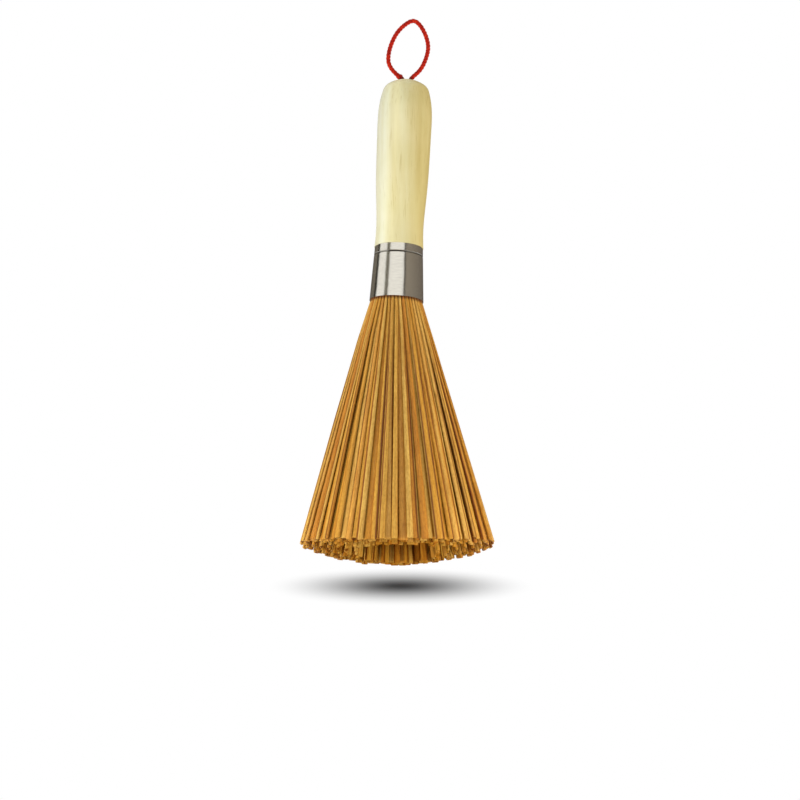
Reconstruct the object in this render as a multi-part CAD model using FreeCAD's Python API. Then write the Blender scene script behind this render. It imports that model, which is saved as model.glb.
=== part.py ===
import FreeCAD, Part
import math
import os
import random

from FreeCAD import Placement, Rotation, Vector

# Bamboo wok brush in millimetres, standing on the tips of its splints.
# +Z runs up through the handle, +X to the right and -Y to the front.
# The origin is on the ground, midway between the outermost tips.
#
# Handle, ferrule and the roots of the splints share one leaning axis. Along it,
# heights are counted from the ferrule's mouth and are positive towards the crown.

# Leaning axis
mouth_height = 132.0
mouth_offset = -0.35
lean_deg = 2.55

# Ferrule: a slightly conical band of sheet metal
ferrule_length = 28.5
ferrule_mouth_radius = 14.0
ferrule_rim_radius = 12.5
sheet_thickness = 0.4
groove_below_rim = 4.5
groove_width = 1.1
groove_depth = 0.4

# Handle: turned wood, its heights here counted from the ferrule's rim
handle_length = 91.4
rim_overhang = 0.25
neck_radius = 12.3
neck_height = 11.0
grip_radius = 13.3
grip_height = 29.5
belly_radius = 14.15
belly_height = 63.4
shoulder_radius = 12.1
shoulder_below_top = 6.0
shoulder_slope_deg = 16.0
crown_corner_radius = 5.0
seat_clearance = 0.05
core_chamfer = 1.2

# Cord hole in the crown
cord_hole_radius = 2.8
cord_hole_depth = 9.0
cord_hole_chamfer = 0.6

# Splints: hand-split strips, each with its own width, shaved narrower at the root
splint_rings = 8
splint_thickness = 0.8
splint_narrowest = 1.3
splint_widest = 1.9
splint_tip_flare = 1.65
splint_gap = 0.08
splint_insert = 18.0
root_clearance = 0.1
bend_below_mouth = 0.3

# Splayed head, measured at the tips
head_half_width = 49.3
head_half_depth = 45.5
head_wall_at_side = 28.0
head_wall_at_front = 14.0
outward_crowding = 1.2
tip_scatter = 0.3
fan_scatter = 0.1
side_rise = 4.2
trim_dome = 1.0
trim_unevenness = 0.6
splint_seed = 7

# Hanging loop
cord_diameter = 2.0
cord_leg_spacing = 3.2
cord_end_gap = 0.05
cord_route = [
    (3.3, 0.0, 249.6),
    (3.2, 0.1, 252.3),
    (0.6, 0.2, 254.3),
    (-3.6, -0.2, 258.6),
    (-5.0, -0.6, 263.2),
    (-3.6, -0.8, 270.8),
    (0.1, -0.6, 278.8),
    (6.2, 0.2, 284.6),
    (10.2, 0.8, 285.3),
    (14.4, 1.3, 279.6),
    (16.8, 1.5, 271.6),
    (15.6, 1.2, 265.0),
    (12.6, 0.7, 257.8),
    (6.8, 0.1, 252.6),
    (6.5, 0.0, 249.6),
]

axis_placement = Placement(
    Vector(mouth_offset, 0, mouth_height), Rotation(Vector(0, 1, 0), lean_deg)
)
wall_taper = (ferrule_mouth_radius - ferrule_rim_radius) / ferrule_length
crown_height = ferrule_length + handle_length
shoulder_height = splint_insert + root_clearance


def on_axis(radius, angle, height):
    """A point given by its radius, angle and height on the leaning axis."""
    local = Vector(radius * math.cos(angle), radius * math.sin(angle), height)
    return axis_placement.multVec(local)


def wall_radius(height, inset=0.0):
    """The ferrule's outer radius at a height, less an inset."""
    return ferrule_mouth_radius - wall_taper * height - inset


def wall_edges(inset, start, end):
    """The profile of the ferrule's wall and rolled groove, moved inwards by an inset."""
    groove_middle = ferrule_length - groove_below_rim
    groove_start = groove_middle - groove_width / 2
    groove_end = groove_middle + groove_width / 2
    first = Vector(wall_radius(start, inset), 0, start)
    below = Vector(wall_radius(groove_start, inset), 0, groove_start)
    deepest = Vector(wall_radius(groove_middle, inset) - groove_depth, 0, groove_middle)
    above = Vector(wall_radius(groove_end, inset), 0, groove_end)
    last = Vector(wall_radius(end, inset), 0, end)
    return [
        Part.LineSegment(first, below).toShape(),
        Part.Arc(below, deepest, above).toShape(),
        Part.LineSegment(above, last).toShape(),
    ]


def joined(points):
    """Straight edges from point to point."""
    return [Part.LineSegment(a, b).toShape() for a, b in zip(points, points[1:])]


def turned(edges):
    """The solid that a closed profile makes when turned round the leaning axis."""
    profile = Part.Face(Part.Wire(Part.__sortEdges__(edges)))
    solid = profile.revolve(Vector(0, 0, 0), Vector(0, 0, 1), 360)
    solid.Placement = axis_placement
    return solid


def ferrule():
    """One band of sheet metal, rolled into the wood near its rim."""
    outside = wall_edges(0, 0, ferrule_length)
    inside = wall_edges(sheet_thickness, 0, ferrule_length)
    mouth = [Vector(wall_radius(0, sheet_thickness), 0, 0), Vector(wall_radius(0), 0, 0)]
    rim = [
        Vector(wall_radius(ferrule_length, sheet_thickness), 0, ferrule_length),
        Vector(wall_radius(ferrule_length), 0, ferrule_length),
    ]
    return turned(outside + inside + joined(mouth) + joined(rim))


def splint_ring_radii():
    """The middle radius of each ring at the splints' roots, and the core's radius there."""
    limit = wall_radius(splint_insert, sheet_thickness)
    middles = []
    for _ in range(splint_rings):
        outer_face = math.sqrt((limit - splint_gap) ** 2 - (splint_widest / 2) ** 2)
        middles.append(outer_face - splint_thickness / 2)
        limit = outer_face - splint_thickness
    return middles, limit - splint_gap


def crown_edges():
    """The crown's corner and dome, tangent to each other and to the shoulder's slope."""
    slope = math.radians(shoulder_slope_deg)
    shoulder = Vector(shoulder_radius, 0, crown_height - shoulder_below_top)
    inward = Vector(-math.cos(slope), 0, -math.sin(slope))
    corner_centre = shoulder + inward * crown_corner_radius
    drop = corner_centre.z - crown_height
    dome_radius = (crown_corner_radius**2 - corner_centre.x**2 - drop**2) / (
        2 * (drop + crown_corner_radius)
    )
    dome_centre = Vector(0, 0, crown_height - dome_radius)
    towards_corner = (corner_centre - dome_centre).normalize()
    corner_end = dome_centre + towards_corner * dome_radius
    corner_middle_way = (towards_corner - inward).normalize()
    corner_middle = corner_centre + corner_middle_way * crown_corner_radius

    def on_dome(radius):
        height = dome_centre.z + math.sqrt(dome_radius**2 - radius**2)
        return Vector(radius, 0, height)

    hole_edge = cord_hole_radius + cord_hole_chamfer
    dome_end = on_dome(hole_edge)
    dome_middle = on_dome((hole_edge + corner_end.x) / 2)
    edges = [
        Part.Arc(shoulder, corner_middle, corner_end).toShape(),
        Part.Arc(corner_end, dome_middle, dome_end).toShape(),
    ]
    return edges, shoulder, dome_end


def handle():
    """Grip, crown with its cord hole, grooved seat in the ferrule and flared core."""
    crown, shoulder, dome_end = crown_edges()
    slope = math.radians(shoulder_slope_deg)
    rim = Vector(ferrule_rim_radius + rim_overhang, 0, ferrule_length)
    neck = Vector(neck_radius, 0, ferrule_length + neck_height)
    grip = Vector(grip_radius, 0, ferrule_length + grip_height)
    belly = Vector(belly_radius, 0, ferrule_length + belly_height)
    side = Part.BSplineCurve()
    side.interpolate(
        Points=[rim, neck, grip, belly, shoulder],
        InitialTangent=Vector(neck_radius - rim.x, 0, neck_height / 2),
        FinalTangent=Vector(-math.sin(slope), 0, math.cos(slope)) * shoulder_below_top,
    )
    seat_inset = sheet_thickness + seat_clearance
    seat = wall_edges(seat_inset, shoulder_height, ferrule_length)
    core_root_radius = splint_ring_radii()[1]
    core_mouth_radius = core_root_radius + wall_taper * splint_insert
    core = [
        Vector(0, 0, 0),
        Vector(core_mouth_radius - core_chamfer, 0, 0),
        Vector(core_mouth_radius - wall_taper * core_chamfer, 0, core_chamfer),
        Vector(core_root_radius - wall_taper * root_clearance, 0, shoulder_height),
        Vector(wall_radius(shoulder_height, seat_inset), 0, shoulder_height),
    ]
    rim_step = [Vector(wall_radius(ferrule_length, seat_inset), 0, ferrule_length), rim]
    hole_floor = crown_height - cord_hole_depth
    hole = [
        dome_end,
        Vector(cord_hole_radius, 0, dome_end.z - cord_hole_chamfer),
        Vector(cord_hole_radius, 0, hole_floor),
        Vector(0, 0, hole_floor),
        Vector(0, 0, 0),
    ]
    edges = joined(core) + seat + joined(rim_step) + [side.toShape()] + crown + joined(hole)
    return turned(edges)


def ring_widths(inner_face, rng):
    """Widths of the splints that fill a ring, and the angle that each one takes up."""
    widths = []
    shares = []
    while True:
        width = rng.uniform(splint_narrowest, splint_widest)
        share = 2 * math.atan((width + splint_gap) / 2 / inner_face)
        if sum(shares) + share > 2 * math.pi:
            return widths, shares
        widths.append(width)
        shares.append(share)


def tip_point(ring, angle, rng):
    """Where a splint's end is cut: lowest inside the head, highest at its sides."""
    depth_in_wall = (ring / (splint_rings - 1)) ** outward_crowding
    edge_inset = splint_thickness / 2 + rng.uniform(0, tip_scatter)
    side_inset = edge_inset + head_wall_at_side * depth_in_wall
    front_inset = edge_inset + head_wall_at_front * depth_in_wall
    x = (head_half_width - side_inset) * math.cos(angle)
    y = (head_half_depth - front_inset) * math.sin(angle)
    rise = side_rise * (x / head_half_width) ** 2 + trim_dome * (1 - depth_in_wall)
    unevenness = rng.uniform(-trim_unevenness, trim_unevenness)
    return Vector(x, y, max(0.0, rise + unevenness))


def splint_section(centre, angle, width):
    """The corners of a splint's level section, its thickness pointing outwards."""
    radial = Vector(math.cos(angle), math.sin(angle), 0) * (splint_thickness / 2)
    across = Vector(-math.sin(angle), math.cos(angle), 0) * (width / 2)
    return [
        centre + radial + across,
        centre - radial + across,
        centre - radial - across,
        centre + radial - across,
    ]


def splint(root, bend, tip, angle, width):
    """A flat strip through three level sections: its root, its bend and its wider tip."""
    sections = [
        splint_section(root, angle, width),
        splint_section(bend, angle, width),
        splint_section(tip, angle, width * splint_tip_flare),
    ]
    outlines = [sections[0], sections[-1]]
    for above, below in zip(sections, sections[1:]):
        for corner in range(4):
            outlines.append([above[corner - 1], above[corner], below[corner], below[corner - 1]])
    faces = [Part.Face(Part.makePolygon(outline + outline[:1])) for outline in outlines]
    return Part.makeSolid(Part.makeShell(faces))


def ring_roots(ring, middle, rng):
    """Angle, width and ring of the splints that lie side by side in one ring."""
    widths, shares = ring_widths(middle - splint_thickness / 2, rng)
    slack = (2 * math.pi - sum(shares)) / len(shares)
    angle = rng.uniform(0, 2 * math.pi)
    roots = []
    for width, share in zip(widths, shares):
        roots.append(((angle + share / 2) % (2 * math.pi), width, ring))
        angle += share + slack
    return roots


def splint_layer(rings, middles):
    """Neighbouring rings of splints, which fan out into each other's gaps."""
    rng = random.Random(splint_seed + rings[0])
    roots = sorted(root for ring in rings for root in ring_roots(ring, middles[ring], rng))
    share_per_width = 2 * math.pi / sum(width for _, width, _ in roots)
    fanned = []
    reached = 0.0
    for _, width, _ in roots:
        share = width * share_per_width
        scatter = rng.uniform(-fan_scatter, fan_scatter) * share
        fanned.append(reached + share / 2 + scatter)
        reached += share
    drift = sum(tip - root[0] for tip, root in zip(fanned, roots)) / len(roots)
    strips = {ring: [] for ring in rings}
    for tip_angle, (angle, width, ring) in zip(fanned, roots):
        bend_middle = middles[ring] + wall_taper * (splint_insert + bend_below_mouth)
        root = on_axis(middles[ring], angle, splint_insert)
        bend = on_axis(bend_middle, angle, -bend_below_mouth)
        tip = tip_point(ring, tip_angle - drift, rng)
        strips[ring].append(splint(root, bend, tip, angle, width))
    return {ring: Part.makeCompound(strips[ring]) for ring in rings}


def rounded_route(points):
    """Straight runs joined by tangent arcs, each as large as its two runs allow."""
    edges = []
    start = points[0]
    for before, corner, after in zip(points, points[1:], points[2:]):
        incoming = (before - corner).normalize()
        outgoing = (after - corner).normalize()
        half_turn = (math.pi - incoming.getAngle(outgoing)) / 2
        shorter = min((before - corner).Length, (after - corner).Length)
        reach = 0.45 * shorter
        radius = reach / math.tan(half_turn)
        print("cord arc radius %.1f" % radius)
        arc_start = corner + incoming * reach
        arc_end = corner + outgoing * reach
        inward = (incoming + outgoing).normalize()
        sagitta = radius / math.cos(half_turn) - radius
        edges.append(Part.LineSegment(start, arc_start).toShape())
        edges.append(Part.Arc(arc_start, corner + inward * sagitta, arc_end).toShape())
        start = arc_end
    edges.append(Part.LineSegment(start, points[-1]).toShape())
    return Part.Wire(edges)


def hanging_loop():
    """A plain tube along the cord's route, its two ends just above the hole's floor."""
    end_height = crown_height - cord_hole_depth + cord_end_gap
    left_end = on_axis(-cord_leg_spacing / 2, 0, end_height)
    right_end = on_axis(cord_leg_spacing / 2, 0, end_height)
    points = [left_end] + [Vector(*point) for point in cord_route] + [right_end]
    route = rounded_route(points)
    start_way = (points[1] - points[0]).normalize()
    section = Part.Wire(Part.makeCircle(cord_diameter / 2, points[0], start_way))
    tube = route.makePipeShell([section], True, True)
    expected = math.pi * cord_diameter**2 / 4 * route.Length
    print("cord length %.1f, volume ratio %.4f" % (route.Length, tube.Volume / expected))
    return tube


os.makedirs("parts", exist_ok=True)
pieces = {"handle": handle(), "ferrule": ferrule(), "hanging_loop": hanging_loop()}
for outer_ring in range(0, splint_rings, 2):
    layer = splint_layer((outer_ring, outer_ring + 1), splint_ring_radii()[0])
    for ring, strips in layer.items():
        pieces["splint_ring_%d" % (ring + 1)] = strips
for name, shape in pieces.items():
    print(name, len(shape.Solids), "solids, volume %.0f" % shape.Volume, shape.isValid())
    shape.exportStep("parts/%s.step" % name)
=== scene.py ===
import math
import random

import bmesh
import bpy
from mathutils import Matrix, Vector


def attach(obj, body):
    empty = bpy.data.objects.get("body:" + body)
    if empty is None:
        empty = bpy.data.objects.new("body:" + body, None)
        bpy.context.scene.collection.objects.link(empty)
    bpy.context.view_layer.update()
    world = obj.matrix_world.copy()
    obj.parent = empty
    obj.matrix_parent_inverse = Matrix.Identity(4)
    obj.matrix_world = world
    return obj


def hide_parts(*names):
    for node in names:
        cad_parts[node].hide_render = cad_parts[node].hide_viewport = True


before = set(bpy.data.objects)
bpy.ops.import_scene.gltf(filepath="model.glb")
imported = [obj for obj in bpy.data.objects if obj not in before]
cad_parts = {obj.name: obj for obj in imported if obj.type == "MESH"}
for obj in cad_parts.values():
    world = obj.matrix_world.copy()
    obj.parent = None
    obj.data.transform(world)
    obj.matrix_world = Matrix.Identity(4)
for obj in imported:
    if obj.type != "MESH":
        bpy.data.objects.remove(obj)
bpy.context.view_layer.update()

scene = bpy.context.scene
scene.view_settings.view_transform = "Standard"

# Camera
# The brush is seen from a little below through a long lens, so that the ring of
# tips shows as a thin oval and the ferrule's edges bow upwards.
camera_tilt_deg = 11.72
camera_data = bpy.data.cameras.new("camera")
camera_data.lens = 120.8
camera_data.sensor_width = 36
camera_data.clip_start = 0.05
camera_data.clip_end = 20
camera = bpy.data.objects.new("camera", camera_data)
camera.location = (0.0015, -1.350, -0.2001)
camera.rotation_euler = (math.radians(90 + camera_tilt_deg), 0, 0)
scene.collection.objects.link(camera)
scene.camera = camera

# Hanging loop
# One length of thin red cord, laid up from three strands. It is bent double and its
# two ends are glued side by side in a hole in the handle's crown.
loop_diameter = 0.0020
loop_route = [
    (0.00299, 0.0, 0.24288),
    (0.0033, 0.0, 0.2496),
    (0.0032, 0.0001, 0.2523),
    (0.0006, 0.0002, 0.2543),
    (-0.0036, -0.0002, 0.2586),
    (-0.0050, -0.0006, 0.2632),
    (-0.0036, -0.0008, 0.2708),
    (0.0001, -0.0006, 0.2788),
    (0.0062, 0.0002, 0.2846),
    (0.0102, 0.0008, 0.2853),
    (0.0144, 0.0013, 0.2796),
    (0.0168, 0.0015, 0.2716),
    (0.0156, 0.0012, 0.265),
    (0.0126, 0.0007, 0.2578),
    (0.0068, 0.0001, 0.2526),
    (0.0065, 0.0, 0.2496),
    (0.00618, 0.0, 0.24274),
]
strand_count = 3
strand_radius = loop_diameter * 0.34
strand_offset = loop_diameter * 0.26
lay_length = 0.0056
points_per_lay = 14
hole_mouth = Vector((0.0049, 0, 0.2512))
# Painted shade darkens the cord near the mouth of the hole in the crown.
hole_shade_core = 0.0027
hole_shade_reach = 0.0045
hole_shade_darkest = 0.35
glue_lump = Vector((0.0016, 0.0001, 0.2538))
glue_lump_reach = 0.0018
glued_bulge = 0.5
cord_relief = 0.00008


def centreline(route):
    """Closely spaced points along the cord's own smooth curve."""
    curve = bpy.data.curves.new("loop_line", "CURVE")
    curve.dimensions = "3D"
    curve.resolution_u = 24
    spline = curve.splines.new("NURBS")
    spline.points.add(len(route) - 1)
    for point, place in zip(spline.points, route):
        point.co = (*place, 1)
    spline.order_u = 3
    spline.use_endpoint_u = True
    holder = bpy.data.objects.new("loop_line", curve)
    line = bpy.data.meshes.new_from_object(holder)
    places = [vertex.co.copy() for vertex in line.vertices]
    bpy.data.objects.remove(holder)
    return places


def evenly(places, step):
    """The same line with its points a set step apart."""
    spaced = [places[0]]
    carried = 0.0
    for start, end in zip(places, places[1:]):
        span = (end - start).length
        while carried + span >= step:
            start = start.lerp(end, (step - carried) / span)
            span = (end - start).length
            spaced.append(start)
            carried = 0.0
        carried += span
    spaced.append(places[-1])
    return spaced


def twisted_strands(places, name):
    """Strands wound round a centreline, as one mesh, with a lump where glue swells them."""
    curve = bpy.data.curves.new(name, "CURVE")
    curve.dimensions = "3D"
    curve.bevel_depth = strand_radius
    curve.bevel_resolution = 3
    curve.use_fill_caps = True
    step = lay_length / points_per_lay
    for strand in range(strand_count):
        wound = []
        thickness = []
        side = Vector((0, 1, 0))
        for index, place in enumerate(places):
            before = places[max(index - 1, 0)]
            after = places[min(index + 1, len(places) - 1)]
            way = (after - before).normalized()
            side = (side - way * side.dot(way)).normalized()
            angle = 2 * math.pi * (index * step / lay_length + strand / strand_count)
            turned = Matrix.Rotation(angle, 3, way) @ side
            bulge = glued_bulge * max(0, 1 - (place - glue_lump).length / glue_lump_reach)
            thickness.append(1 + bulge)
            wound.append(place + turned * strand_offset * (1 + bulge))
        spline = curve.splines.new("POLY")
        spline.points.add(len(wound) - 1)
        for point, place, swell in zip(spline.points, wound, thickness):
            point.co = (*place, 1)
            point.radius = swell
    holder = bpy.data.objects.new(name, curve)
    mesh = bpy.data.meshes.new_from_object(holder)
    bpy.data.objects.remove(holder)
    for polygon in mesh.polygons:
        polygon.use_smooth = True
    piece = bpy.data.objects.new(name, mesh)
    scene.collection.objects.link(piece)
    return piece


def linear(red, green, blue):
    """A screen colour, given from 0 to 255, as the shader's own values."""
    def channel(value):
        share = value / 255
        return share / 12.92 if share <= 0.04045 else ((share + 0.055) / 1.055) ** 2.4
    return (channel(red), channel(green), channel(blue), 1)


def new_material(name, roughness):
    """A node material with its one shader, ready for its colour and relief."""
    material = bpy.data.materials.new(name)
    material.use_nodes = True
    nodes = material.node_tree.nodes
    shader = nodes["Principled BSDF"]
    shader.inputs["Roughness"].default_value = roughness
    return material, nodes, material.node_tree.links, shader


def fed(links, value, socket):
    """A socket set to a number or colour, or linked to another node's value."""
    if isinstance(value, bpy.types.NodeSocket):
        links.new(value, socket)
    else:
        socket.default_value = value


def noise(nodes, links, place, scale, detail):
    """A noise texture that reads the given coordinates."""
    texture = nodes.new("ShaderNodeTexNoise")
    texture.inputs["Scale"].default_value = scale
    texture.inputs["Detail"].default_value = detail
    links.new(place, texture.inputs["Vector"])
    return texture.outputs["Fac"]


def graded(nodes, links, value, stops):
    """A colour ramp, its stops given as place and colour."""
    ramp = nodes.new("ShaderNodeValToRGB")
    elements = ramp.color_ramp.elements
    while len(elements) < len(stops):
        elements.new(0.5)
    for element, (place, colour) in zip(elements, stops):
        element.position = place
        element.color = colour
    links.new(value, ramp.inputs["Fac"])
    return ramp.outputs["Color"]


def blended(nodes, links, kind, share, first, second):
    """Two colours mixed; the share is a number or another node's value."""
    mix = nodes.new("ShaderNodeMix")
    mix.data_type = "RGBA"
    mix.blend_type = kind
    for name, value in (("Factor", share), ("A", first), ("B", second)):
        fed(links, value, next(s for s in mix.inputs if s.name == name and s.enabled))
    return next(s for s in mix.outputs if s.enabled)


def measured(nodes, links, kind, place, other=(0, 0, 0)):
    """One number read from coordinates: a length, a distance or a height along an axis."""
    measure = nodes.new("ShaderNodeVectorMath")
    measure.operation = kind
    measure.inputs[1].default_value = other
    links.new(place, measure.inputs[0])
    return measure.outputs["Value"]


def rescaled(nodes, links, value, low, high, at_low=0.0, at_high=1.0):
    """A value taken from one range to another and held at its ends."""
    scaling = nodes.new("ShaderNodeMapRange")
    ends = {"From Min": low, "From Max": high, "To Min": at_low, "To Max": at_high}
    for name, end in ends.items():
        scaling.inputs[name].default_value = end
    links.new(value, scaling.inputs["Value"])
    return scaling.outputs["Result"]


def raised(nodes, links, shader, height, depth):
    """Relief in metres from a grey value."""
    bump = nodes.new("ShaderNodeBump")
    bump.inputs["Strength"].default_value = 1.0
    bump.inputs["Distance"].default_value = depth
    links.new(height, bump.inputs["Height"])
    links.new(bump.outputs["Normal"], shader.inputs["Normal"])


def cord_material():
    """Red dyed cotton: dull, with short pale and dark fibres, and painted shade where it enters
    the hole.
    """
    material, nodes, links, shader = new_material("red_cord", roughness=0.72)
    shader.inputs["Specular IOR Level"].default_value = 0.3
    place = nodes.new("ShaderNodeTexCoord").outputs["Object"]
    fibres = noise(nodes, links, place, scale=5200, detail=4)
    patches = noise(nodes, links, place, scale=420, detail=3)
    colour = graded(nodes, links, patches, [
        (0.30, linear(156, 20, 3)),
        (0.55, linear(190, 31, 5)),
        (0.75, linear(208, 50, 14)),
    ])
    fibre_shade = graded(nodes, links, fibres, [
        (0.35, (0.62, 0.55, 0.55, 1)),
        (0.65, (1, 1, 1, 1)),
    ])
    colour = blended(nodes, links, "MULTIPLY", 0.8, colour, fibre_shade)
    # Painted shade: darker towards the hole's mouth.
    from_hole = measured(nodes, links, "DISTANCE", place, hole_mouth)
    out_of_hole_shade = rescaled(nodes, links, from_hole, hole_shade_core, hole_shade_reach, at_low=hole_shade_darkest)
    colour = blended(nodes, links, "MULTIPLY", 1.0, colour, out_of_hole_shade)
    links.new(colour, shader.inputs["Base Color"])
    raised(nodes, links, shader, fibres, cord_relief)
    return material


loop_line = evenly(centreline(loop_route), lay_length / points_per_lay)
loop = twisted_strands(loop_line, "red_hanging_loop")
loop.data.materials.append(cord_material())
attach(loop, "root")
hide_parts("hanging_loop")

# Handle
# Pale close-grained wood turned in one piece, sanded and left unvarnished.
# The grain runs up the handle, with faint bands of growth and a few fine flecks.
grain_turn = (0, math.radians(-2.5), 0)
grain_stretch = (1, 1, 0.06)
across_scale = (36, 1, 36)
across_shift = (0.722, 0, 0)
wood_relief = 0.00006


def stretched(nodes, links, source, scale, turn=(0, 0, 0), shift=(0, 0, 0)):
    """Coordinates scaled, turned and shifted to follow a grain."""
    mapping = nodes.new("ShaderNodeMapping")
    mapping.inputs["Location"].default_value = shift
    mapping.inputs["Scale"].default_value = scale
    mapping.inputs["Rotation"].default_value = turn
    links.new(source, mapping.inputs["Vector"])
    return mapping.outputs["Vector"]


def handle_material():
    """Sanded pale wood: soft yellow cream with grain and flecks, and painted shade that darkens
    and warms it towards its right flank.
    """
    material, nodes, links, shader = new_material("pale_turned_wood", roughness=0.52)
    place = nodes.new("ShaderNodeTexCoord").outputs["Object"]
    along = stretched(nodes, links, place, grain_stretch, grain_turn)
    bands = noise(nodes, links, along, scale=190, detail=5)
    pores = noise(nodes, links, along, scale=1500, detail=2)
    mottling = noise(nodes, links, place, scale=55, detail=3)
    colour = graded(nodes, links, bands, [
        (0.32, linear(228, 216, 168)),
        (0.50, linear(238, 229, 188)),
        (0.70, linear(244, 239, 206)),
    ])
    # Painted shade: the wood is paler on its left and darker and warmer towards its right flank,
    # as if lit from the left.
    upright = stretched(nodes, links, place, across_scale, grain_turn, across_shift)
    across = nodes.new("ShaderNodeSeparateXYZ")
    links.new(upright, across.inputs["Vector"])
    painted_flank_shade = graded(nodes, links, across.outputs["X"], [
        (0.02, (0.70, 0.72, 0.80, 1)),
        (0.11, (0.75, 0.78, 0.85, 1)),
        (0.20, (0.83, 0.86, 0.92, 1)),
        (0.36, (0.92, 0.92, 0.85, 1)),
        (0.52, (0.81, 0.78, 0.65, 1)),
        (0.80, (0.61, 0.53, 0.33, 1)),
    ])
    colour = blended(nodes, links, "MULTIPLY", 1.0, colour, painted_flank_shade)
    tint = graded(nodes, links, mottling, [
        (0.35, (0.93, 0.93, 0.84, 1)),
        (0.65, (1, 1, 1, 1)),
    ])
    colour = blended(nodes, links, "MULTIPLY", 0.75, colour, tint)
    fleck = graded(nodes, links, pores, [
        (0.28, (0.80, 0.74, 0.62, 1)),
        (0.40, (1, 1, 1, 1)),
    ])
    colour = blended(nodes, links, "MULTIPLY", 0.6, colour, fleck)
    links.new(colour, shader.inputs["Base Color"])
    raised(nodes, links, shader, pores, wood_relief)
    return material


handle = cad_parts["handle"]
handle.data.materials.clear()
handle.data.materials.append(handle_material())

# Ferrule
# A band of thin bright sheet, rolled into the wood at its groove and pressed round the splints.
# Handling has left it with fine scratches and a slightly uneven face, and painted shade darkens
# the groove, most at its front.
mouth_centre = Vector((-0.00035, 0, 0.132))
lean = math.radians(2.55)
leaning_axis = Vector((math.sin(lean), 0, math.cos(lean)))
mouth_height = mouth_centre.dot(leaning_axis)
groove_above_mouth = 0.024
groove_front = (0, -0.0128, 0.156)
# Painted shade in the groove: a dark line, darkest at the front and fainter round the sides.
groove_shade_core = 0.00025
groove_shade_edge = 0.0005
dark_shade_reach = 0.0033
faint_shade_reach = 0.00561
faint_shade_cover = 0.62
groove_shade_colour = (0.04, 0.032, 0.024, 1)
rubbing_stretch = (1, 1, 22)
rubbed_smooth = 0.12
rubbed_rough = 0.24
dent_depth = 0.00012


def calculated(nodes, links, operation, *values):
    """The result of one operation; each value is a number or another node's value."""
    step = nodes.new("ShaderNodeMath")
    step.operation = operation
    for socket, value in zip(step.inputs, values):
        fed(links, value, socket)
    return step.outputs["Value"]


def ferrule_material():
    """Bright sheet metal with fine rubbed lines round it, shallow dents and painted shade in the
    groove.
    """
    material, nodes, links, shader = new_material("bright_sheet_metal", roughness=0.16)
    shader.inputs["Metallic"].default_value = 1.0
    place = nodes.new("ShaderNodeTexCoord").outputs["Object"]
    around = stretched(nodes, links, place, rubbing_stretch)
    rubbed = noise(nodes, links, around, scale=420, detail=4)
    dents = noise(nodes, links, place, scale=130, detail=1)
    metal = graded(nodes, links, rubbed, [
        (0.35, (0.70, 0.66, 0.58, 1)),
        (0.65, (0.82, 0.79, 0.70, 1)),
    ])
    # Painted shade: the groove is darkened, fully near its front and partly elsewhere.
    height = measured(nodes, links, "DOT_PRODUCT", place, leaning_axis)
    groove_height = mouth_height + groove_above_mouth
    from_groove = calculated(nodes, links, "SUBTRACT", height, groove_height)
    off_groove = calculated(nodes, links, "ABSOLUTE", from_groove)
    out_of_groove = rescaled(nodes, links, off_groove, groove_shade_core, groove_shade_edge)
    from_front = measured(nodes, links, "DISTANCE", place, groove_front)
    metal_through_shade = rescaled(
        nodes, links, from_front, dark_shade_reach, faint_shade_reach,
        at_low=1.0, at_high=faint_shade_cover,
    )
    groove_shaded = blended(nodes, links, "MIX", metal_through_shade, metal, groove_shade_colour)
    colour = blended(nodes, links, "MIX", out_of_groove, groove_shaded, metal)
    links.new(colour, shader.inputs["Base Color"])
    roughness = rescaled(
        nodes, links, rubbed, 0.0, 1.0, at_low=rubbed_smooth, at_high=rubbed_rough
    )
    links.new(roughness, shader.inputs["Roughness"])
    raised(nodes, links, shader, dents, dent_depth)
    return material


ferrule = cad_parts["ferrule"]
ferrule.data.materials.clear()
ferrule.data.materials.append(ferrule_material())

# Splints
# Strips of bamboo split by hand and packed in rings round the handle's core, held by the
# ferrule and splayed below it. Each bows a little, widens and thickens towards its tip,
# has worn edges and its own tone, and most are half split along a dark line.
joined_below = 0.000005
flat_angle = math.radians(0.05)
bowing_heights = (0.025, 0.070, 0.112)
worn_edge = 0.0003
sharp_angle = math.radians(45)
long_edge = 0.002
end_facing = 0.9
tip_depth = 0.0001
bend_band = 0.0012
first_seed = 40
bow_most = 0.0010
bow_rise = 0.6
drift_most = 0.0004
inner_rings_outwards = 0.0036
tip_widening = 0.44
tip_thickening = 0.9
tone_step = 0.618
tone_scatter = 0.12
pattern_slide = 3
split_reach = 0.0010
split_width = 0.00046
split_depth = 0.00016
split_tone = 0.37
split_starts = 0.010
split_full = 0.045
fibre_depth = 0.0001
fibre_stretch = (1, 0.025, 1)
blotch_stretch = (1, 0.3, 1)
speckle_stretch = (1, 0.35, 1)
# Painted shadow of the ferrule's edge on the splints just below its mouth.
mouth_shadow_reach = 0.0020
mouth_shadow_core = mouth_shadow_reach / 3


def attribute(nodes, name):
    """A value that the mesh carries at each vertex."""
    reader = nodes.new("ShaderNodeAttribute")
    reader.attribute_name = name
    return reader.outputs["Fac"]


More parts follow.
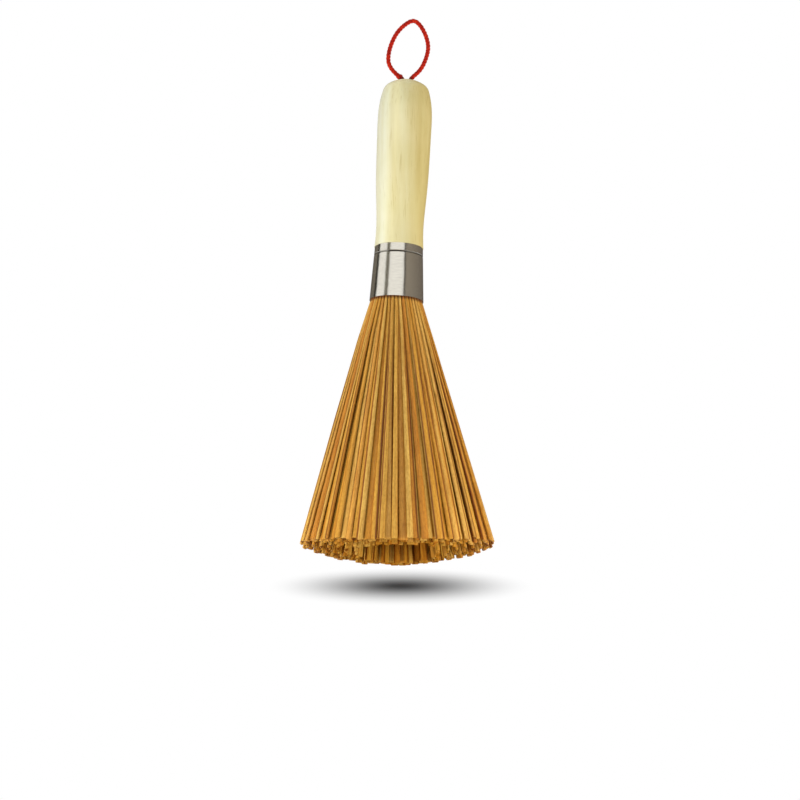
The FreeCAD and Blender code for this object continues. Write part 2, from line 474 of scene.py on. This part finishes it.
def split_bamboo_material():
    """Dry split bamboo: golden brown, streaked with fibres along each strip, with a painted
    shadow just under the ferrule's mouth.
    """
    material, nodes, links, shader = new_material("split_bamboo", roughness=0.55)
    uv_reader = nodes.new("ShaderNodeUVMap")
    uv_reader.uv_map = "strip"
    strip = uv_reader.outputs["UV"]
    fibre_place = stretched(nodes, links, strip, fibre_stretch)
    fibres = noise(nodes, links, fibre_place, scale=5200, detail=3)
    streaks = noise(nodes, links, fibre_place, scale=1500, detail=2)
    blotch_place = stretched(nodes, links, strip, blotch_stretch)
    blotches = noise(nodes, links, blotch_place, scale=120, detail=3)
    speckle_place = stretched(nodes, links, strip, speckle_stretch)
    speckles = noise(nodes, links, speckle_place, scale=1500, detail=2)
    from_split = attribute(nodes, "from_split")
    second_half = calculated(nodes, links, "GREATER_THAN", from_split, 0)
    half_tone = calculated(
        nodes, links, "MULTIPLY_ADD", second_half, split_tone, attribute(nodes, "tone")
    )
    own_tone = calculated(nodes, links, "FRACT", half_tone)
    colour = graded(nodes, links, own_tone, [
        (0.00, linear(193, 131, 42)),
        (0.20, linear(201, 145, 48)),
        (0.45, linear(208, 159, 62)),
        (0.72, linear(217, 177, 90)),
        (0.86, linear(213, 168, 83)),
        (1.00, linear(207, 150, 60)),
    ])
    streak_shade = graded(nodes, links, streaks, [
        (0.30, (0.66, 0.51, 0.25, 1)),
        (0.50, (0.96, 0.93, 0.88, 1)),
        (0.75, (1, 1, 1, 1)),
    ])
    colour = blended(nodes, links, "MULTIPLY", 0.7, colour, streak_shade)
    fibre_shade = graded(nodes, links, fibres, [
        (0.35, (0.68, 0.55, 0.32, 1)),
        (0.60, (1, 1, 1, 1)),
    ])
    colour = blended(nodes, links, "MULTIPLY", 0.7, colour, fibre_shade)
    stain = graded(nodes, links, blotches, [
        (0.35, (0.80, 0.72, 0.60, 1)),
        (0.60, (1, 1, 1, 1)),
    ])
    colour = blended(nodes, links, "MULTIPLY", 0.6, colour, stain)
    off_split = calculated(nodes, links, "ABSOLUTE", from_split)
    whole = rescaled(nodes, links, off_split, 0.0, split_width)
    cleft = graded(nodes, links, whole, [
        (0.20, (0.32, 0.17, 0.03, 1)),
        (0.95, (1, 1, 1, 1)),
    ])
    place = nodes.new("ShaderNodeTexCoord").outputs["Object"]
    height = measured(nodes, links, "DOT_PRODUCT", place, leaning_axis)
    opening = rescaled(
        nodes, links, height, mouth_height - split_starts, mouth_height - split_full
    )
    colour = blended(nodes, links, "MULTIPLY", opening, colour, cleft)
    # Painted shadow: the splints darken just under the ferrule's mouth.
    under_mouth = rescaled(
        nodes, links, height, mouth_height - mouth_shadow_reach, mouth_height - mouth_shadow_core
    )
    painted_mouth_shadow = graded(nodes, links, under_mouth, [
        (0.00, (1, 1, 1, 1)),
        (1.00, (0.30, 0.20, 0.10, 1)),
    ])
    colour = blended(nodes, links, "MULTIPLY", 1.0, colour, painted_mouth_shadow)
    speckle_shade = graded(nodes, links, speckles, [
        (0.36, (0.72, 0.62, 0.42, 1)),
        (0.58, (1, 1, 1, 1)),
    ])
    colour = blended(nodes, links, "MULTIPLY", 0.5, colour, speckle_shade)
    links.new(colour, shader.inputs["Base Color"])
    relief = calculated(
        nodes, links, "MULTIPLY_ADD", whole, split_depth / fibre_depth, fibres
    )
    raised(nodes, links, shader, relief, fibre_depth)
    return material


def soft_edged_strips(node):
    """A copy of the ring's strips, cut across so that they can bow, with worn edges."""
    bm = bmesh.new()
    bm.from_mesh(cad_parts[node].data)
    bmesh.ops.remove_doubles(bm, verts=bm.verts, dist=joined_below)
    bmesh.ops.dissolve_limit(bm, angle_limit=flat_angle, verts=bm.verts, edges=bm.edges)
    for height in bowing_heights:
        bmesh.ops.bisect_plane(
            bm,
            geom=bm.verts[:] + bm.edges[:] + bm.faces[:],
            plane_co=(0, 0, height),
            plane_no=(0, 0, 1),
        )
    worn_edges = [
        edge for edge in bm.edges
        if edge.calc_face_angle(0) > sharp_angle
        and (abs(edge.verts[0].co.z - edge.verts[1].co.z) > long_edge
             or any(face.normal.z < -end_facing for face in edge.link_faces))
    ]
    bmesh.ops.bevel(
        bm, geom=worn_edges, offset=worn_edge, offset_type="OFFSET",
        affect="EDGES", segments=1, profile=0.5, material=-1, clamp_overlap=True,
    )
    return bm


def separate_strips(bm):
    """The vertices of each strip in a ring, strip by strip."""
    bm.verts.index_update()
    seen = set()
    strips = []
    for first in bm.verts:
        if first.index in seen:
            continue
        seen.add(first.index)
        strip = [first]
        for vertex in strip:
            for edge in vertex.link_edges:
                other = edge.other_vert(vertex)
                if other.index not in seen:
                    seen.add(other.index)
                    strip.append(other)
        strips.append(strip)
    return strips


def middle_of(vertices):
    """The mean place of some vertices."""
    return sum((vertex.co for vertex in vertices), Vector()) / len(vertices)


def piece_from(bm, name, material):
    """A new object that takes over the bmesh, with its material."""
    mesh = bpy.data.meshes.new(name)
    bm.to_mesh(mesh)
    bm.free()
    mesh.materials.append(material)
    piece = bpy.data.objects.new(name, mesh)
    scene.collection.objects.link(piece)
    return piece


def splint_ring(node, name, number, material):
    """The ring's strips, bowed, widened, thickened and coloured one by one."""
    draw = random.Random(first_seed + number)
    bm = soft_edged_strips(node)
    tone = bm.verts.layers.float.new("tone")
    from_split = bm.verts.layers.float.new("from_split")
    uv = bm.loops.layers.uv.new("strip")
    for index, strip in enumerate(separate_strips(bm)):
        lowest = min(vertex.co.z for vertex in strip)
        tip = middle_of([v for v in strip if v.co.z < lowest + tip_depth])
        bend = middle_of([v for v in strip if abs(v.co.z - mouth_centre.z) < bend_band])
        way = (tip - bend).normalized()
        outwards = bend - mouth_centre
        outwards = (outwards - way * outwards.dot(way)).normalized()
        across = way.cross(outwards)
        bow = outwards * draw.uniform(0, bow_most)
        bow += across * draw.uniform(-drift_most, drift_most)
        # Most at the diagonals, where gaps between the inner rings would show.
        diagonal = abs(outwards.x * outwards.y)
        pushed = outwards * diagonal * inner_rings_outwards * (1 - 1 / number)
        own_tone = (index * tone_step + draw.uniform(-tone_scatter, tone_scatter)) % 1
        slide = Vector((draw.uniform(0, pattern_slide), draw.uniform(0, pattern_slide)))
        split_line = draw.uniform(-split_reach, split_reach)
        for vertex in strip:
            vertex[tone] = own_tone
            along = min(max((vertex.co - bend).dot(way) / (tip - bend).length, 0), 1)
            place = vertex.co - bend
            vertex[from_split] = place.dot(across) - split_line * (1 + along)
            for corner in vertex.link_loops:
                corner[uv].uv = (
                    place.dot(across) + place.dot(outwards) + slide.x,
                    place.dot(way) + slide.y,
                )
            vertex.co += bow * math.sin(math.pi * along ** bow_rise) + pushed * along
            vertex.co += across * place.dot(across) * tip_widening * along
            vertex.co += outwards * place.dot(outwards) * tip_thickening * along
    for face in bm.faces:
        face.smooth = abs(face.normal.z) < end_facing
    for edge in bm.edges:
        edge.smooth = all(face.smooth for face in edge.link_faces)
    piece = piece_from(bm, name, material)
    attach(piece, "root")
    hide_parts(node)


bamboo = split_bamboo_material()
ring_nodes = sorted(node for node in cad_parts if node.startswith("splint_ring_"))
for number, node in enumerate(ring_nodes, 1):
    splint_ring(node, "bamboo_splints_%d" % number, number, bamboo)

# Floor
# A pale floor under the tips that shows from above only and fades into the white
# backdrop. The low camera looks along its underside, so a dark soft oval on a board
# tilted towards it takes the place of the shadow that the floor would show.
def bare_material(name):
    """A node material with nothing in it but its output."""
    material = bpy.data.materials.new(name)
    material.use_nodes = True
    nodes, links = material.node_tree.nodes, material.node_tree.links
    nodes.clear()
    return material, nodes, links, nodes.new("ShaderNodeOutputMaterial")


def soft_board_material(name, radius, plain_share, colour, cover):
    """A plain colour that fades out towards the rim, clear to light and from beneath."""
    material, nodes, links, output = bare_material(name)
    place = nodes.new("ShaderNodeTexCoord").outputs["Object"]
    distance = measured(nodes, links, "LENGTH", place)
    fade = rescaled(
        nodes, links, distance, radius * plain_share, radius, at_low=cover, at_high=0.0
    )
    fade.node.interpolation_type = "SMOOTHSTEP"
    beneath = nodes.new("ShaderNodeNewGeometry").outputs["Backfacing"]
    for_light = nodes.new("ShaderNodeLightPath").outputs["Is Shadow Ray"]
    hidden = calculated(nodes, links, "MAXIMUM", beneath, for_light)
    shown = calculated(nodes, links, "SUBTRACT", fade, hidden)
    shown.node.use_clamp = True
    diffuse = nodes.new("ShaderNodeBsdfDiffuse")
    diffuse.inputs["Color"].default_value = (*colour, 1)
    clear = nodes.new("ShaderNodeBsdfTransparent")
    mixed = nodes.new("ShaderNodeMixShader")
    links.new(shown, mixed.inputs[0])
    links.new(clear.outputs["BSDF"], mixed.inputs[1])
    links.new(diffuse.outputs["BSDF"], mixed.inputs[2])
    links.new(mixed.outputs["Shader"], output.inputs["Surface"])
    return material


def soft_board(name, place, tilt_deg, radius, plain_share, colour, cover):
    """A thin round board, turned about its own left-to-right axis."""
    bm = bmesh.new()
    bmesh.ops.create_circle(bm, cap_ends=True, segments=96, radius=radius)
    material = soft_board_material(name, radius, plain_share, colour, cover)
    board = piece_from(bm, name, material)
    tilt = Matrix.Rotation(math.radians(tilt_deg), 4, "X")
    board.matrix_world = Matrix.Translation(place) @ tilt


soft_board(
    "floor", place=Vector((0, 0, -0.0003)), tilt_deg=0, radius=0.6,
    plain_share=0.35, colour=(0.93, 0.93, 0.93), cover=1.0,
)
soft_board(
    "shadow_board", place=Vector((0.0017, 0, -0.0162)), tilt_deg=16.1, radius=0.0686,
    plain_share=0.0, colour=(0.03, 0.03, 0.03), cover=0.955,
)

# Reflection cards
# Dark cards stand round the brush, out of the camera's sight, with gaps between them.
# The bright metal shows them as dark bands, and the white room between them.
card_distance = 0.9
card_bottom = -0.5
card_top = 1.2
card_steps = 12


def reflection_card(name, start_deg, end_deg, first, last):
    """A curved card round the brush, its colour shading from its first edge to its last.

    Angles run from the front towards the right.
    """
    start, sweep = math.radians(start_deg), math.radians(end_deg - start_deg)
    x, y = card_distance * math.sin(start), -card_distance * math.cos(start)
    bm = bmesh.new()
    bottom = bm.verts.new((x, y, card_bottom))
    top = bm.verts.new((x, y, card_top))
    side = bm.edges.new((bottom, top))
    bmesh.ops.spin(
        bm, geom=[bottom, top, side], cent=(0, 0, 0), axis=(0, 0, 1),
        angle=sweep, steps=card_steps,
    )
    share = bm.verts.layers.float.new("share")
    for vertex in bm.verts:
        turn = math.degrees(math.atan2(vertex.co.x, -vertex.co.y))
        vertex[share] = ((turn - start_deg + 90) % 360 - 90) / (end_deg - start_deg)
    material, nodes, links, output = bare_material(name)
    colour = graded(nodes, links, attribute(nodes, "share"), [
        (0, (*first, 1)),
        (1, (*last, 1)),
    ])
    glow = nodes.new("ShaderNodeEmission")
    links.new(colour, glow.inputs["Color"])
    links.new(glow.outputs["Emission"], output.inputs["Surface"])
    card = piece_from(bm, name, material)
    card.visible_camera = False
    card.visible_diffuse = False
    card.visible_shadow = False
    card.visible_transmission = False


reflection_card("card_back_left", -180, -116, (0.12, 0.11, 0.10), (0.20, 0.18, 0.15))
reflection_card("card_left_edge", -116, -99, (0.015, 0.015, 0.01), (0.015, 0.015, 0.01))
reflection_card("card_left_front", -56, -40, (0.13, 0.12, 0.09), (0.13, 0.12, 0.09))
reflection_card("card_right_front", 29, 38, (0.06, 0.05, 0.04), (0.06, 0.05, 0.04))
reflection_card("card_right", 38, 180, (0.31, 0.275, 0.23), (0.12, 0.10, 0.09))

# Light
# Soft lamps above, in front, to the front left and below, and one low on each side
# that reaches the head's flanks, all in a white room. None of them shows in the metal.
room_light = 0.40


def soft_lamp(name, place, target, size, power):
    """A square lamp aimed at a point."""
    data = bpy.data.lights.new(name, "AREA")
    data.shape = "SQUARE"
    data.size = size
    data.energy = power
    lamp = bpy.data.objects.new(name, data)
    lamp.location = place
    aim = Vector(target) - Vector(place)
    lamp.rotation_euler = aim.to_track_quat("-Z", "Y").to_euler()
    lamp.visible_camera = False
    lamp.visible_glossy = False
    scene.collection.objects.link(lamp)


soft_lamp("lamp_above", (0, 0.1, 1.5), (0, 0, 0.1), size=0.9, power=9)
soft_lamp("lamp_front_left", (-1.1, -1.1, 0.55), (0, 0, 0.12), size=0.8, power=2.0)
soft_lamp("lamp_front", (0, -1.3, -0.1), (0, 0, 0.05), size=0.4, power=4.4)
soft_lamp("lamp_low_left", (-0.6, -0.12, -0.12), (0, 0, 0.02), size=0.3, power=4.2)
soft_lamp("lamp_low_right", (0.6, -0.15, -0.12), (0, 0, 0.02), size=0.3, power=4.6)
soft_lamp("lamp_below", (0, -0.9, -0.95), (0, 0, 0.03), size=0.8, power=2.6)

world = bpy.data.worlds.new("white_room")
world.use_nodes = True
scene.world = world
nodes, links = world.node_tree.nodes, world.node_tree.links
background = nodes["Background"]
background.inputs["Color"].default_value = (1, 1, 1, 1)
ray = nodes.new("ShaderNodeLightPath").outputs
seen = calculated(nodes, links, "MAXIMUM", ray["Is Camera Ray"], ray["Is Glossy Ray"])
seen = calculated(nodes, links, "MAXIMUM", seen, ray["Is Transmission Ray"])
strength = rescaled(nodes, links, seen, 0.0, 1.0, at_low=room_light)
links.new(strength, background.inputs["Strength"])
